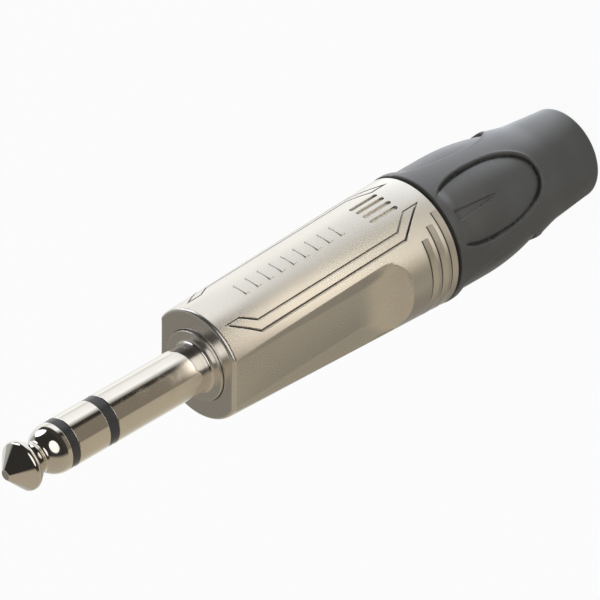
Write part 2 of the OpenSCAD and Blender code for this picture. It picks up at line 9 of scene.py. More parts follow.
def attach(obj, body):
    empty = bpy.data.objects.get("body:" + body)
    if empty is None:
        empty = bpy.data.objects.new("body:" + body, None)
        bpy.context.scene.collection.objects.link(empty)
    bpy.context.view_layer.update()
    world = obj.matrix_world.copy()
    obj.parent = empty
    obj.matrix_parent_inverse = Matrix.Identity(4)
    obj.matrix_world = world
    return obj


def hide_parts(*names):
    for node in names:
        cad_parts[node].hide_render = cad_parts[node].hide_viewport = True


mm = 0.001
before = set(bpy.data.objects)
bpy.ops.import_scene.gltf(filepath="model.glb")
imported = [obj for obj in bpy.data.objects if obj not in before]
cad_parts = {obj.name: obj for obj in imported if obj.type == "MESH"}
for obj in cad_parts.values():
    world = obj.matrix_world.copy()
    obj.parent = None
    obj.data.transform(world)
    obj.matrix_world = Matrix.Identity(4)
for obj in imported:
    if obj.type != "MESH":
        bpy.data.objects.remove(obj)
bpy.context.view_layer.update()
print("frame loaded, nodes:", len(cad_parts))


cameraSettings = {
    "place": (-580.26, -607.21, 639.23),  # mm, from the foot of the standing plug
    "right": (-0.707068, -0.015127, -0.706984),  # rolled, so the plug lies across the picture
    "up": (0.425862, -0.807252, -0.408640),
    "back": (-0.564533, -0.590014, 0.577223),
    "lens": 515.45,
    "sensor": 36.0,
}


def makeCamera(s):
    data = bpy.data.cameras.new("productCamera")
    data.lens, data.sensor_width = s["lens"], s["sensor"]
    data.clip_start, data.clip_end = 0.05, 20
    camera = bpy.data.objects.new("productCamera", data)
    bpy.context.scene.collection.objects.link(camera)
    turn = Matrix((s["right"], s["up"], s["back"])).transposed().to_4x4()
    camera.matrix_world = Matrix.Translation(Vector(s["place"]) * mm) @ turn
    bpy.context.scene.camera = camera
    return camera


makeCamera(cameraSettings)
print("camera placed")


class Wire:
    # a socket that Python's own operators work on; each one adds a Math node
    def __init__(self, shop, socket):
        self.shop, self.socket = shop, socket

    def math(self, operation, *values):
        return self.shop.add("ShaderNodeMath", {"operation": operation}, values)

    def __add__(self, other):
        return self.math("ADD", self, other)

    def __sub__(self, other):
        return self.math("SUBTRACT", self, other)

    def __rsub__(self, other):
        return self.math("SUBTRACT", other, self)

    def __mul__(self, other):
        return self.math("MULTIPLY", self, other)

    def __truediv__(self, other):
        return self.math("DIVIDE", self, other)

    def __pow__(self, other):
        return self.math("POWER", self, other)

    def __gt__(self, other):
        return self.math("GREATER_THAN", self, other)

    def __lt__(self, other):
        return self.math("LESS_THAN", self, other)

    __radd__ = __add__
    __rmul__ = __mul__

    def ramp(self, low, high, smooth=True):
        # 0 below low, 1 above high
        kind = "SMOOTHSTEP" if smooth else "LINEAR"
        return self.shop.add("ShaderNodeMapRange", {"interpolation_type": kind}, {0: self, 1: low, 2: high, 3: 0.0, 4: 1.0})

    def part(self, name):
        # another output of the same node
        return Wire(self.shop, self.socket.node.outputs[name])


class Shop:
    # the node tree of one material or world
    def __init__(self, owner):
        owner.use_nodes = True
        self.nodes, self.links = owner.node_tree.nodes, owner.node_tree.links
        self.nodes.clear()

    def add(self, kind, settings=None, values=(), output=0):
        node = self.nodes.new(kind)
        for name, value in (settings or {}).items():
            if name == "stops":
                self.fillRamp(node.color_ramp, value)
            else:
                setattr(node, name, value)
        pairs = values.items() if isinstance(values, dict) else enumerate(values)
        for place, value in pairs:
            if isinstance(value, Wire):
                self.links.new(value.socket, node.inputs[place])
            else:
                node.inputs[place].default_value = value
        return Wire(self, node.outputs[output]) if len(node.outputs) else node

    def fillRamp(self, ramp, stops):
        while len(ramp.elements) > 1:
            ramp.elements.remove(ramp.elements[-1])
        for k, (place, colour) in enumerate(stops):
            element = ramp.elements[0] if k == 0 else ramp.elements.new(place)
            element.position, element.color = place, rgba(colour)

    def mix(self, factor, first, second, blend="MIX"):
        pair = [x if isinstance(x, Wire) else rgba(x) for x in (first, second)]
        return self.add(
            "ShaderNodeMix", {"data_type": "RGBA", "blend_type": blend}, {0: factor, 6: pair[0], 7: pair[1]}, output=2
        )

    def noise(self, where, scale, detail=3.0, rough=0.5):
        return self.add("ShaderNodeTexNoise", {}, {"Vector": where, "Scale": scale, "Detail": detail, "Roughness": rough})

    def point(self):
        return self.add("ShaderNodeTexCoord", {}, (), "Object")

    def bump(self, height, distance, strength=1.0, normal=None):
        values = {"Height": height, "Distance": distance, "Strength": strength}
        if normal is not None:
            values["Normal"] = normal
        return self.add("ShaderNodeBump", {}, values)

    def softEdges(self, radius):
        # the small round that casting and moulding leave on every edge
        return self.add("ShaderNodeBevel", {"samples": 6}, {"Radius": radius})

    def surface(self, values):
        shader = self.add("ShaderNodeBsdfPrincipled", {}, values)
        self.add("ShaderNodeOutputMaterial", {}, {"Surface": shader})


def rgba(colour):
    if isinstance(colour, (int, float)):
        colour = (colour, colour, colour)
    return (*colour, 1.0)[:4]


def newMaterial(name):
    material = bpy.data.materials.new(name)
    return material, Shop(material)


studioSettings = {
    "cameraSide": -133.7,  # degrees, the azimuth that the photograph was taken from
    # what polished metal sees below eye level, by degrees round the plug from the camera's side
    "roundShaft": [
        (-180, (0.9, 0.9, 0.88)), (-150, (0.93, 0.93, 0.92)), (-122, (1.12, 1.12, 1.12)), (-112, (0.78, 0.78, 0.76)),
        (-96, (1.0, 1.0, 1.0)), (-60, (1.12, 1.12, 1.12)), (-48, (0.5, 0.5, 0.48)), (-38, (0.04, 0.034, 0.028)),
        (-27, (0.04, 0.034, 0.028)), (-18, (0.215, 0.185, 0.145)), (36, (0.215, 0.185, 0.145)), (42, (0.44, 0.38, 0.29)),
        (100, (0.46, 0.40, 0.30)), (128, (0.52, 0.47, 0.39)), (150, (0.72, 0.69, 0.62)), (168, (0.9, 0.9, 0.86)),
        (180, (0.9, 0.9, 0.88)),
    ],
    "roundBoot": [
        (-180, (0.6, 0.6, 0.6)), (-150, (0.85, 0.86, 0.88)), (-125, (1.45, 1.51, 1.6)), (-62, (1.4, 1.46, 1.55)),
        (-42, (0.95, 0.97, 1.0)), (-22, (0.38, 0.38, 0.37)), (30, (0.36, 0.36, 0.34)), (60, (0.28, 0.27, 0.24)),
        (110, (0.2, 0.19, 0.165)), (128, (0.35, 0.34, 0.31)), (180, (0.6, 0.6, 0.6)),
    ],
    "roundShell": [
        (-180, (0.75, 0.75, 0.75)), (-150, (1.0, 1.0, 1.0)), (-115, (1.12, 1.12, 1.11)), (-90, (0.88, 0.89, 0.89)),
        (-60, (0.72, 0.72, 0.71)), (-36, (0.52, 0.49, 0.43)), (-14, (0.74, 0.69, 0.60)), (18, (0.96, 0.88, 0.75)),
        (34, (0.62, 0.55, 0.44)), (50, (0.27, 0.245, 0.195)), (64, (0.31, 0.28, 0.225)), (80, (0.34, 0.31, 0.25)),
        (92, (0.27, 0.245, 0.2)), (106, (0.23, 0.21, 0.175)), (140, (0.25, 0.235, 0.21)), (160, (0.5, 0.5, 0.48)),
        (180, (0.75, 0.75, 0.75)),
    ],
    # the same farther out, where the front of the shell looks
    "roundFront": [
        (-180, (0.75, 0.75, 0.75)), (-150, (1.0, 1.0, 1.0)), (-115, (1.2, 1.2, 1.2)), (-90, (0.85, 0.86, 0.87)),
        (-62, (0.68, 0.68, 0.67)), (-42, (1.4, 1.32, 1.2)), (-26, (3.7, 3.45, 3.0)), (4, (3.7, 3.4, 2.95)),
        (18, (2.5, 2.27, 1.95)), (32, (0.8, 0.71, 0.58)), (46, (0.28, 0.25, 0.20)), (64, (0.32, 0.29, 0.23)),
        (80, (0.36, 0.32, 0.255)), (92, (0.29, 0.265, 0.21)), (106, (0.24, 0.22, 0.18)), (140, (0.25, 0.235, 0.21)),
        (160, (0.5, 0.5, 0.48)), (180, (0.75, 0.75, 0.75)),
    ],
    # the same near the horizon
    "roundFar": [
        (-180, (0.7, 0.7, 0.68)), (-150, (0.8, 0.8, 0.8)), (-126, (0.9, 0.9, 0.9)), (-116, (0.05, 0.045, 0.04)),
        (46, (0.04, 0.036, 0.03)), (60, (0.42, 0.37, 0.29)), (130, (0.42, 0.38, 0.31)), (165, (0.5, 0.5, 0.47)),
        (180, (0.7, 0.7, 0.68)),
    ],
    # the same above eye level
    "above": [
        (-180, (0.22, 0.205, 0.18)), (-155, (0.25, 0.24, 0.22)), (-137, (0.42, 0.42, 0.40)), (-125, (0.36, 0.36, 0.35)),
        (-117, (0.03, 0.028, 0.025)), (46, (0.03, 0.028, 0.025)), (60, (0.40, 0.345, 0.27)), (140, (0.42, 0.365, 0.285)),
        (165, (0.24, 0.22, 0.19)), (180, (0.22, 0.205, 0.18)),
    ],
    "ambient": 0.62,
    "floorRadius": 1.6,
    # metres from the plug where one belt of the floor turns into the next, from the boot's to the horizon's
    "belts": ((0.040, 0.052), (0.083, 0.093), (0.095, 0.103), (0.24, 0.34)),
}


def aroundStops(table):
    return [((angle + 180) / 360, colour) for angle, colour in table]


def aroundPlug(shop, vector, s):
    # 0 to 1 once round the plug, with 0.5 where the camera stands
    parts = shop.add("ShaderNodeSeparateXYZ", {}, [vector])
    azimuth = parts.math("ARCTAN2", parts.part("Y"), parts.part("X"))
    turned = (math.radians(s["cameraSide"]) - azimuth) / (2 * math.pi) + 1.5
    return turned.math("FRACT", turned), parts


def makeWorld(s):
    world = bpy.data.worlds.new("studioWorld")
    bpy.context.scene.world = world
    shop = Shop(world)
    direction = shop.add("ShaderNodeTexCoord", {}, (), "Generated")
    around, parts = aroundPlug(shop, direction, s)
    low = shop.add("ShaderNodeValToRGB", {"stops": aroundStops(s["roundFar"])}, [around])
    high = shop.add("ShaderNodeValToRGB", {"stops": aroundStops(s["above"])}, [around])
    mirrored = shop.mix(parts.part("Z").ramp(-0.06, 0.12), low, high)
    path = shop.add("ShaderNodeLightPath", {}, (), "Is Camera Ray")
    glossy = path.part("Is Glossy Ray")
    seen = shop.mix(glossy, s["ambient"], mirrored)
    seen = shop.mix(path.math("MAXIMUM", path, path.part("Is Transmission Ray")), seen, 1.0)
    background = shop.add("ShaderNodeBackground", {}, {"Color": seen, "Strength": 1.0})
    shop.add("ShaderNodeOutputWorld", {}, {"Surface": background})


def makeFloor(s):
    mesh = bpy.data.meshes.new("studioFloor")
    work = bmesh.new()
    bmesh.ops.create_circle(work, cap_ends=True, segments=96, radius=s["floorRadius"])
    work.to_mesh(mesh)
    work.free()
    floor = bpy.data.objects.new("studioFloor", mesh)
    bpy.context.scene.collection.objects.link(floor)
    floor.location.z = -0.0001
    material, shop = newMaterial("whiteFloor")
    point = shop.add("ShaderNodeNewGeometry", {}, (), "Position")
    around, parts = aroundPlug(shop, point, s)
    x, y = parts.part("X"), parts.part("Y")
    reach = (x * x + y * y) ** 0.5
    cards = shop.add("ShaderNodeValToRGB", {"stops": aroundStops(s["roundBoot"])}, [around])
    for belt, table in zip(s["belts"], ("roundShell", "roundFront", "roundShaft", "roundFar")):
        farther = shop.add("ShaderNodeValToRGB", {"stops": aroundStops(s[table])}, [around])
        cards = shop.mix(reach.ramp(*belt), cards, farther)
    path = shop.add("ShaderNodeLightPath", {}, (), "Is Camera Ray")
    diffuse = shop.add("ShaderNodeBsdfDiffuse", {}, {"Color": rgba(0.8)})
    glowing = shop.add("ShaderNodeEmission", {}, {"Color": rgba(1.0), "Strength": 1.0})
    white = shop.add("ShaderNodeMixShader", {}, {0: 0.93, 1: diffuse, 2: glowing})
    card = shop.add("ShaderNodeEmission", {}, {"Color": cards, "Strength": 1.0})
    seen = path.math("MAXIMUM", path, path.part("Is Transmission Ray"))
    plain = shop.add("ShaderNodeMixShader", {}, {0: seen, 1: diffuse, 2: white})
    full = shop.add("ShaderNodeMixShader", {}, {0: path.part("Is Glossy Ray"), 1: plain, 2: card})
    shop.add("ShaderNodeOutputMaterial", {}, {"Surface": full})
    mesh.materials.append(material)


lampSettings = {
    # name: degrees round from the camera's side, degrees up, metres away, half width and half height, brightness, colour
    "softboxBehindCamera": (-2, 32, 1.25, 0.68, 0.41, 1.2, (1.0, 0.985, 0.96)),
    "softboxAbovePanel": (-103, 6, 1.20, 0.46, 0.33, 2.1, (0.92, 0.96, 1.05)),
}


def makeLamps(lamps):
    for name, (side, up, away, wide, tall, bright, colour) in lamps.items():
        data = bpy.data.lights.new(name, "AREA")
        data.shape, data.size, data.size_y, data.color = "ELLIPSE", 2 * wide, 2 * tall, colour
        data.energy = bright * math.pi**2 * wide * tall  # watts that give the panel this brightness
        lamp = bpy.data.objects.new(name, data)
        bpy.context.scene.collection.objects.link(lamp)
        azimuth, height = math.radians(studioSettings["cameraSide"] - side), math.radians(up)
        toLamp = Vector((math.cos(azimuth) * math.cos(height), math.sin(azimuth) * math.cos(height), math.sin(height)))
        lamp.location = toLamp * away + Vector((0, 0, 60 * mm))
        lamp.rotation_euler = (-toLamp).to_track_quat("-Z", "Y").to_euler()


makeWorld(studioSettings)
makeFloor(studioSettings)
makeLamps(lampSettings)
bpy.context.scene.view_settings.view_transform = "Standard"
print("studio lit")


finishSettings = {
    "contactNickel": {"colour": (0.86, 0.83, 0.78), "worn": (0.80, 0.765, 0.70), "rough": 0.055, "roughWorn": 0.13},
    "shellNickel": {"colour": (0.83, 0.80, 0.745), "worn": (0.78, 0.745, 0.68), "rough": 0.27, "roughWorn": 0.29, "edge": 0.00012,
                    # the share of the colour left where the painted shade in corners and grooves is darkest
                    "paintedShade": 0.45},
    "insulation": {"colour": (0.036, 0.037, 0.039), "rough": 0.25},
    # the third colour is the painted shade in the grooves round the pads
    "bootRubber": {"colour": (0.060, 0.060, 0.058), "pale": (0.072, 0.072, 0.069), "grooveShade": (0.012, 0.012, 0.012), "rough": 0.40},
    "glandPlastic": {"colour": (0.010, 0.010, 0.010), "rough": 0.35},
    "chuckPlastic": {"colour": (0.030, 0.031, 0.033), "rough": 0.45},
    "terminalTin": {"colour": (0.72, 0.70, 0.66), "rough": 0.30},
    "washerBoard": {"colour": (0.18, 0.075, 0.03), "rough": 0.55},
}


def polishedNickel(s):
    # bright plating with faint turning marks round the shaft and soft handling haze
    material, shop = newMaterial("contactNickel")
    point = shop.point()
    haze = shop.noise(point, 260.0, 4.0)
    tall = shop.add("ShaderNodeMapping", {}, {"Vector": point, "Scale": (60.0, 60.0, 9000.0)})
    rings = shop.noise(tall, 1.0, 2.0)
    worn = haze.ramp(0.5, 0.72)
    height = shop.add("ShaderNodeSeparateXYZ", {}, [point]).part("Z")
    collar = 1 - height.ramp(0.0637, 0.0639)
    rough = s["rough"] + worn * (s["roughWorn"] - s["rough"]) + rings.ramp(0.6, 0.8) * 0.03 + collar * 0.25
    colour = shop.mix(worn * 0.6, s["colour"], s["worn"])
    normal = shop.bump(rings, 0.0000006, 0.5)
    shop.surface({"Base Color": colour, "Metallic": 1.0, "Roughness": rough, "Normal": normal})
    return material


def satinNickel(s):
    # blasted and plated casting: fine grain, slightly polished where it is handled
    material, shop = newMaterial("shellNickel")
    point = shop.point()
    grain = shop.noise(point, 9000.0, 2.0)
    cloud = shop.noise(point, 70.0, 2.0)
    worn = cloud.ramp(0.3, 0.8)
    colour = shop.mix(worn * 0.35, s["colour"], s["worn"])
    rough = s["rough"] + worn * (s["roughWorn"] - s["rough"]) + (grain - 0.5) * 0.03
    normal = shop.bump(grain, 0.000003, 0.07, shop.softEdges(s["edge"]))
    # painted shade: ambient occlusion darkens the base colour in corners, engraved lines and grooves
    deep = shop.add("ShaderNodeAmbientOcclusion", {"samples": 16, "only_local": True}, {"Distance": 0.0005}, "AO")
    colour = shop.mix(deep.ramp(0.3, 0.75), tuple(c * s["paintedShade"] for c in s["colour"]), colour)
    shop.surface({"Base Color": colour, "Metallic": 1.0, "Roughness": rough, "Normal": normal})
    return material


def mouldedPlastic(name, s, grainScale=5200.0):
    material, shop = newMaterial(name)
    point = shop.point()
    grain = shop.noise(point, grainScale, 3.0)
    cloud = shop.noise(point, 300.0, 3.0)
    colour = shop.mix(cloud.ramp(0.35, 0.75), s["colour"], tuple(c * 1.25 for c in s["colour"]))
    rough = s["rough"] + (cloud - 0.5) * 0.12
    normal = shop.bump(grain, 0.000004, 0.4)
    shop.surface({"Base Color": colour, "Roughness": rough, "Normal": normal})
    return material


def bootElastomer(s):
    # soft moulding: pebbled grain, a dull bloom and a skin that catches light
    material, shop = newMaterial("bootRubber")
    point = shop.point()
    grain = shop.noise(point, 4200.0, 3.0, 0.55)
    bloom = shop.noise(point, 240.0, 5.0)
    colour = shop.mix(bloom.ramp(0.38, 0.72), s["colour"], s["pale"])
    outline = shop.add("ShaderNodeAttribute", {"attribute_name": "padEdge"}, (), "Fac")
    gap = (outline + 0.14).math("ABSOLUTE", outline + 0.14)
    # painted shade: the floor of the groove round each pad gets a near-black colour, as if in shadow
    colour = shop.mix(1 - gap.ramp(0.05, 0.13), colour, s["grooveShade"])
    rough = s["rough"] + (bloom - 0.5) * 0.16 + (grain - 0.5) * 0.10
    normal = shop.bump(grain, 0.000010, 0.5)
    shop.surface({"Base Color": colour, "Roughness": rough, "Normal": normal, "Specular IOR Level": 0.9, "Coat Weight": 0.4,
                  "Coat Roughness": 0.3})
    return material


def tinnedSheet(s):
    material, shop = newMaterial("terminalTin")
    point = shop.point()
    cloud = shop.noise(point, 700.0, 4.0)
    colour = shop.mix(cloud.ramp(0.4, 0.7), s["colour"], (0.62, 0.60, 0.57))
    rough = s["rough"] + (cloud - 0.5) * 0.3
    shop.surface({"Base Color": colour, "Metallic": 1.0, "Roughness": rough, "Normal": shop.bump(cloud, 0.000006, 0.4)})
    return material


def pressedBoard(s):
    material, shop = newMaterial("washerBoard")
    point = shop.point()
    weave = shop.noise(point, 3000.0, 4.0)
    colour = shop.mix(weave.ramp(0.35, 0.7), s["colour"], tuple(c * 1.5 for c in s["colour"]))
    shop.surface({"Base Color": colour, "Roughness": s["rough"] + (weave - 0.5) * 0.2, "Normal": shop.bump(weave, 0.00001, 0.4)})
    return material


finishes = {
    "contactNickel": polishedNickel(finishSettings["contactNickel"]),
    "shellNickel": satinNickel(finishSettings["shellNickel"]),
    "insulation": mouldedPlastic("insulation", finishSettings["insulation"]),
    "bootRubber": bootElastomer(finishSettings["bootRubber"]),
    "glandPlastic": mouldedPlastic("glandPlastic", finishSettings["glandPlastic"]),
    "chuckPlastic": mouldedPlastic("chuckPlastic", finishSettings["chuckPlastic"]),
    "terminalTin": tinnedSheet(finishSettings["terminalTin"]),
    "washerBoard": pressedBoard(finishSettings["washerBoard"]),
}
print("finishes mixed:", len(finishes))


plugLength = 94.45  # mm, from the nose of the tip to the foot that the plug stands on


def arc(centre, radius, start, stop, steps=14):
    angles = np.radians(np.linspace(start, stop, steps + 1))
    return [(centre[0] + radius * math.cos(a), centre[1] + radius * math.sin(a)) for a in angles]


def inMetres(radius, phi, at):
    # cylinder coordinates in mm, with "at" measured from the nose, to the frame's metres
    radius, phi, at = np.broadcast_arrays(radius, phi, at)
    return np.stack([radius * np.cos(phi), radius * np.sin(phi), plugLength - at], -1) * mm


def addPiece(node, mesh, body, finish, slot=None):
    piece = bpy.data.objects.new(node + "Look", mesh)
    bpy.context.scene.collection.objects.link(piece)
    mesh.materials.clear()
    mesh.materials.append(finish)
    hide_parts(node)
    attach(piece, body)
    return piece


def turnedMesh(name, outline, columns):
    # revolves a closed outline of (radius, at); long faces keep their own normals next to short ones
    p = np.array(outline, float)
    if np.sum(p[:, 0] * np.roll(p[:, 1], -1) - np.roll(p[:, 0], -1) * p[:, 1]) < 0:
        p = p[::-1]
    step = np.roll(p, -1, 0) - p
    length = np.hypot(step[:, 0], step[:, 1])[:, None]
    normal = np.stack([step[:, 1], -step[:, 0]], 1) / length
    before, lengthBefore = np.roll(normal, 1, 0), np.roll(length, 1, 0)
    shared = normal * length**2 + before * lengthBefore**2
    shared /= np.linalg.norm(shared, axis=1)[:, None]
    soft = (np.sum(normal * before, 1) > math.cos(math.radians(24)))[:, None]
    starts = np.where(soft, shared, normal)
    ends = np.roll(np.where(soft, shared, before), -1, 0)
    phi = np.linspace(0, 2 * math.pi, columns, endpoint=False)
    points = inMetres(p[:, :1], phi[None, :], p[:, 1:2])
    faces, corners = [], []
    rows = len(p)
    for k in range(rows):
        n = (k + 1) % rows
        if p[k, 0] < 1e-6 and p[n, 0] < 1e-6:
            continue
        for j in range(columns):
            i = (j + 1) % columns
            loop = [(k, j, starts[k]), (n, j, ends[k]), (n, i, ends[k]), (k, i, starts[k])]
            if p[k, 0] < 1e-6:
                loop = loop[:3]
            elif p[n, 0] < 1e-6:
                loop = [loop[0], loop[1], loop[3]]
            faces.append([r * columns + (c if p[r, 0] > 1e-6 else 0) for r, c, _ in loop])
            corners += [(m[0] * math.cos(phi[c]), m[0] * math.sin(phi[c]), -m[1]) for _, c, m in loop]
    mesh = bpy.data.meshes.new(name)
    mesh.from_pydata(points.reshape(-1, 3).tolist(), [], faces)
    facing = np.array([mesh.polygons[0].normal[:]]) @ np.array(corners[0])
    if facing[0] < 0:
        mesh.flip_normals()
        corners = flippedCorners(mesh, corners, faces)
    mesh.normals_split_custom_set(corners)
    return mesh


def flippedCorners(mesh, corners, faces):
    # flipping a face keeps its first corner and turns the order of the others
    turned, place = [], 0
    for face in faces:
        own = corners[place:place + len(face)]
        turned += [own[0]] + own[:0:-1]
        place += len(face)
    return turned


def gridFaces(rows, columns):
    k, j = np.meshgrid(np.arange(rows), np.arange(columns), indexing="ij")
    n, i = (k + 1) % rows, (j + 1) % columns
    return np.stack([k * columns + j, k * columns + i, n * columns + i, n * columns + j], -1).reshape(-1, 4)


def slopeNormals(surface, phi, at, reach=0.05):
    # outward normals of the surface radius(phi, at), measured over a short reach so edges look rounded
    r = surface(phi, at)
    across = (surface(phi + reach / r, at) - surface(phi - reach / r, at)) / (2 * reach)
    along = (surface(phi, at + reach) - surface(phi, at - reach)) / (2 * reach)
    out = np.stack([np.cos(phi), np.sin(phi), np.zeros_like(phi)], -1)
    side = np.stack([-np.sin(phi), np.cos(phi), np.zeros_like(phi)], -1)
    normal = out - side * across[..., None]
    normal[..., 2] += along
    return normal / np.linalg.norm(normal, axis=-1)[..., None]


def smoothStep(x):
    x = np.clip(x, 0, 1)
    return x * x * (3 - 2 * x)


contactSettings = {
    "radius": 3.175,
    "tip": 8.0,
    "frontBand": 1.2,
    "ring": 4.9,
    "rearBand": 1.45,
    "recess": 0.05,
    "edge": 0.1,
    "nose": 0.8,
    "collarAt": 30.8,
    "collarRadius": 4.6,
    "fillet": 0.4,
    "columns": 160,
}


def makeContacts(s):
    r, edge, band = s["radius"], s["edge"], s["radius"] - s["recess"]
    ringAt = s["tip"] + s["frontBand"]
    ringEnd = ringAt + s["ring"]
    sleeveAt = ringEnd + s["rearBand"]
    # the crown's and neck's arcs are tangent to flanks of 44 and 35 degrees, and the shoulder is a dome
    crown, neckRadius, neck, dome, domeEnd, root = 0.65, 1.85, 0.6, 3.3, 7.9, 0.6
    lip = r - crown * (1 - math.cos(math.radians(44)))
    crownAt = (lip - s["nose"]) / math.tan(math.radians(44)) + crown * math.sin(math.radians(44))
    crownArc = arc((r - crown, crownAt), crown, -44, 35)
    neckStart = neckRadius + neck * (1 - math.cos(math.radians(35)))
    neckAt = crownArc[-1][1] + (crownArc[-1][0] - neckStart) / math.tan(math.radians(35)) + neck * math.sin(math.radians(35))
    neckArc = arc((neckRadius + neck, neckAt), neck, 215, 180)
    across = neckRadius + root - (r - dome)
    rootAt = domeEnd - math.sqrt((dome + root) ** 2 - across**2)
    meet = math.degrees(math.atan2(rootAt - domeEnd, across))
    rootArc = arc((neckRadius + root, rootAt), root, 180, 180 + meet)
    shoulderArc = rootArc + arc((r - dome, domeEnd), dome, meet, -1.3, 40)[1:]
    noseArc = arc((s["nose"] - 0.3, 0.3), 0.3, -90, -44, 6)
    tip = [(0, 0), *noseArc, *crownArc, *neckArc, *shoulderArc, *arc((r - edge, s["tip"] - edge), edge, 0, 90, 4),
           (1, s["tip"]), (1, 40.8), (1.3, 40.8), (1.3, 40.95), (1, 41.1), (0, 41.1)]
    ring = [(1.93, ringAt), *arc((r - edge, ringAt + edge), edge, -90, 0, 4), *arc((r - edge, ringEnd - edge), edge, 0, 90, 4),
            (2.43, ringEnd), (2.43, 38.9), (2.73, 38.9), (2.73, 39.2), (1.93, 39.2)]
    sleeve = [(2.9, sleeveAt), *arc((r - edge, sleeveAt + edge), edge, -90, 0, 4),
              *arc((r + s["fillet"], s["collarAt"] - s["fillet"]), s["fillet"], 180, 90),
              *arc((s["collarRadius"] - edge, s["collarAt"] + edge), edge, -90, 0, 4),
              (4.6, 33.2), (5.55, 33.2), (5.55, 35), (3.3, 35), (3.3, 35.6), (3.6, 35.6), (3.6, 35.9), (2.9, 35.9)]
    tube = {
        "tip_insulator": (s["tip"], ringAt, 1.02, 1.45, 40.2),
        "ring_insulator": (ringEnd, sleeveAt, 2.45, 2.88, 38.3),
    }
    for node, outline in (("tip_contact", tip), ("ring_contact", ring), ("sleeve_contact", sleeve)):
        addPiece(node, turnedMesh(node, outline, s["columns"]), "plug", finishes["contactNickel"])
    for node, (start, stop, inner, outer, end) in tube.items():
        outline = [(inner, start), *arc((band - 0.06, start + 0.06), 0.06, -90, 0, 3),
                   *arc((band - 0.06, stop - 0.06), 0.06, 0, 90, 3), (outer, stop), (outer, end), (inner, end)]
        addPiece(node, turnedMesh(node, outline, s["columns"]), "plug", finishes["insulation"])


makeContacts(contactSettings)
print("contacts turned")


glandSettings = {
    "threadAt": 61.2,
    "shellEnd": 67.2,
    "crest": 6.95,
    "depth": 0.5,
    "pitch": 1.0,
    "fade": 0.6,
    "columns": 96,
    "rowsPerPitch": 10,
}


def makeGland(s):
    start, end = s["threadAt"], s["shellEnd"]
    threadRows = np.linspace(start + 0.02, end - 0.02, int((end - start) / s["pitch"] * s["rowsPerPitch"]))
    rest = [(6.95, end), (8.12, end), (8.2, end + 0.08), (8.2, end + 0.42), (8.12, end + 0.5), (6.1, end + 0.5), (6.1, 78.3),
            (6.4, 78.3), (6.4, 78.42), (6.1, 79.7), (4.1, 79.7), (4.1, 66.1), (5.0278, 66.1), (5.65, 61.9), (5.65, start),
            (6.5, start)]
    at = np.concatenate([threadRows, [a for _, a in rest]])
    fixed = np.array([r for r, _ in rest])
    phi = np.linspace(0, 2 * math.pi, s["columns"], endpoint=False)
    turn = (threadRows[:, None] / s["pitch"] + phi[None, :] / (2 * math.pi)) % 1
    flank = np.clip(np.abs(turn - 0.5) * 2.6 - 0.25, 0, 1)
    fade = np.clip((threadRows - start) / s["fade"], 0, 1) * np.clip((end - threadRows) / s["fade"], 0, 1)
    lead = s["crest"] - s["depth"] * (1 - np.clip((threadRows - start) / s["fade"] + 0.2, 0, 1))
    crest = lead[:, None] - s["depth"] * (1 - flank) * fade[:, None]
    radius = np.concatenate([crest, np.repeat(fixed[:, None], s["columns"], 1)])
    points = inMetres(radius, phi[None, :], at[:, None])
    mesh = bpy.data.meshes.new("gland_nut")
    mesh.from_pydata(points.reshape(-1, 3).tolist(), [], gridFaces(len(at), s["columns"]).tolist())
    faceOut(mesh)
    mesh.set_sharp_from_angle(angle=math.radians(32))
    addPiece("gland_nut", mesh, "boot", finishes["glandPlastic"])


def faceOut(mesh):
    work = bmesh.new()
    work.from_mesh(mesh)
    bmesh.ops.recalc_face_normals(work, faces=work.faces)
    for face in work.faces:
        face.smooth = True
    work.to_mesh(mesh)
    work.free()


makeGland(glandSettings)
print("gland threaded")


bootSettings = {
    "front": 67.7,
    "radius": 8.58,
    "rim": 1.25,
    "body": 15.2,
    "drop": 1.3,
    "step": 3.2,
    "neck": 6.56,
    "end": 5.95,
    "endRound": 0.5,
    "padMiddle": 75.45,
    "padHalf": (4.66, 8.7),
    "padPower": 2.5,
    "padDrop": 0.45,
    "padBulge": 1.6,
    "padSwell": 33.0,
    "groove": 0.17,
    "grooveWidth": 0.11,
    "lip": 0.07,
    "flute": (69.6, 77.0, 0.62, 0.42),  # from, to, half width, depth
    "columns": 480,
}


def padPlace(phi, at, s):
    # angle from the middle of the nearest pad, and distance in mm from its outline, negative inside
    angle = (phi + math.pi) % (math.pi / 2) - math.pi / 4
    u, v = 8.0 * np.sin(angle), at - s["padMiddle"]
    a, b, n = s["padHalf"][0], s["padHalf"][1], s["padPower"]
    x, y = np.abs(u / a) + 1e-6, np.abs(v / b) + 1e-6
    whole = (x**n + y**n) ** (1 / n)
    slope = whole ** (1 - n) * np.hypot(x ** (n - 1) / a, y ** (n - 1) / b)
    return angle, u, v, (whole - 1) / np.maximum(slope, 1e-3)


